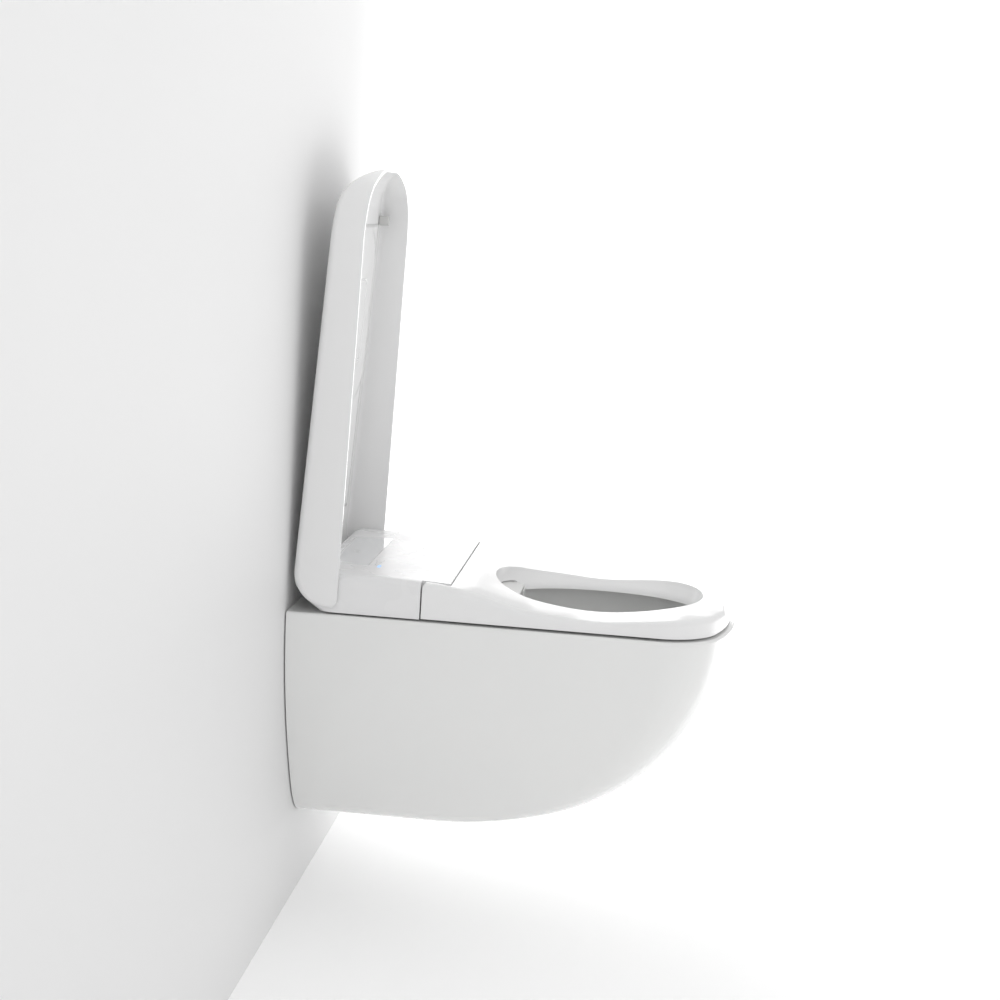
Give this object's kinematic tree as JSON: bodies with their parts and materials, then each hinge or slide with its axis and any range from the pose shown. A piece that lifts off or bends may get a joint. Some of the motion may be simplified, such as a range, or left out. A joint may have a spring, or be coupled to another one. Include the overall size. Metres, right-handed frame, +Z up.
{
  "type": "wall hung shower toilet",
  "caption": "Wall hung toilet with a tapered ceramic pan, a built-in washing unit with sliding spray arms, a contoured seat and a deep lid that stands open.",
  "frame": {"origin": "on the wall face, midway between the two fixing studs", "axes": "+Z up, +Y into the wall, the pan reaches out along -Y, +X to the right of a person who faces the wall"},
  "size_m": [0.375, 0.5999, 0.9128],
  "materials": {
    "glazed_ceramic": "glazed",
    "rubber": "matte",
    "inner_plastic": "matte",
    "white_plastic": "satin",
    "panel_gloss": "polished",
    "lamp_lens": "clear",
    "housing_plastic": "satin",
    "dark_plastic": "matte",
    "board": "matte",
    "seat_plastic": "gloss",
    "lid_plastic": "gloss",
    "steel": "brushed",
    "rubber_white": "matte"
  },
  "bodies": {
    "pan": {"ceramic_pan": "glazed_ceramic", "flush_seal": "rubber", "outlet_seal": "rubber", "mounting_plate": "inner_plastic", "unit_base": "inner_plastic", "top_cover": "white_plastic", "sensor_panel": "panel_gloss", "light_bar": "lamp_lens", "nozzle_housing": "housing_plastic", "dryer_fan": "dark_plastic", "heater_tank": "dark_plastic", "water_pump": "dark_plastic", "valve_block": "dark_plastic", "control_board": "board", "fixing_sleeve_left": "inner_plastic", "fixing_washer_left": "steel", "fixing_nut_left": "steel", "plate_screw_left": "steel", "hinge_damper_left": "dark_plastic", "fixing_sleeve_right": "inner_plastic", "fixing_washer_right": "steel", "fixing_nut_right": "steel", "plate_screw_right": "steel", "hinge_damper_right": "dark_plastic"},
    "lid": {"lid_shell": "lid_plastic", "lid_pad": "lid_plastic", "lid_pin_left": "steel", "lid_bumper_left": "rubber_white", "lid_pin_right": "steel", "lid_bumper_right": "rubber_white"},
    "seat": {"seat_ring": "seat_plastic", "seat_pin_left": "steel", "seat_bumper_rear_left": "rubber_white", "seat_bumper_front_left": "rubber_white", "seat_pin_right": "steel", "seat_bumper_rear_right": "rubber_white", "seat_bumper_front_right": "rubber_white"},
    "rear_arm": {"spray_arm_rear": "steel", "nozzle_tip_rear": "housing_plastic"},
    "front_arm": {"spray_arm_front": "steel", "nozzle_tip_front": "housing_plastic"},
    "flap": {"dryer_flap": "housing_plastic"},
    "button": {"release_button": "white_plastic"}
  },
  "joints": [
    {"name": "lid_hinge", "type": "hinge", "parent": "pan", "child": "lid", "pos_m": [0, -0.0395, 0.1174], "axis": [-1, 0, 0], "range_deg": [-88.5, 0]},
    {"name": "seat_hinge", "type": "hinge", "parent": "pan", "child": "seat", "pos_m": [0, -0.19, 0.129], "axis": [-1, 0, 0], "range_deg": [0, 95]},
    {"name": "rear_spray_slide", "type": "slide", "parent": "pan", "child": "rear_arm", "axis": [0, -0.9781, -0.2079], "range_m": [0, 0.07]},
    {"name": "front_spray_slide", "type": "slide", "parent": "pan", "child": "front_arm", "axis": [0, -0.9781, -0.2079], "range_m": [0, 0.07]},
    {"name": "dryer_flap_hinge", "type": "hinge", "parent": "pan", "child": "flap", "pos_m": [0.04, -0.2973, 0.09327], "axis": [-1, 0, 0], "range_deg": [0, 50]},
    {"name": "release_button_slide", "type": "slide", "parent": "pan", "child": "button", "axis": [-1, 0, 0], "range_m": [0, 0.004], "stiffness_N_per_m": 300}
  ]
}
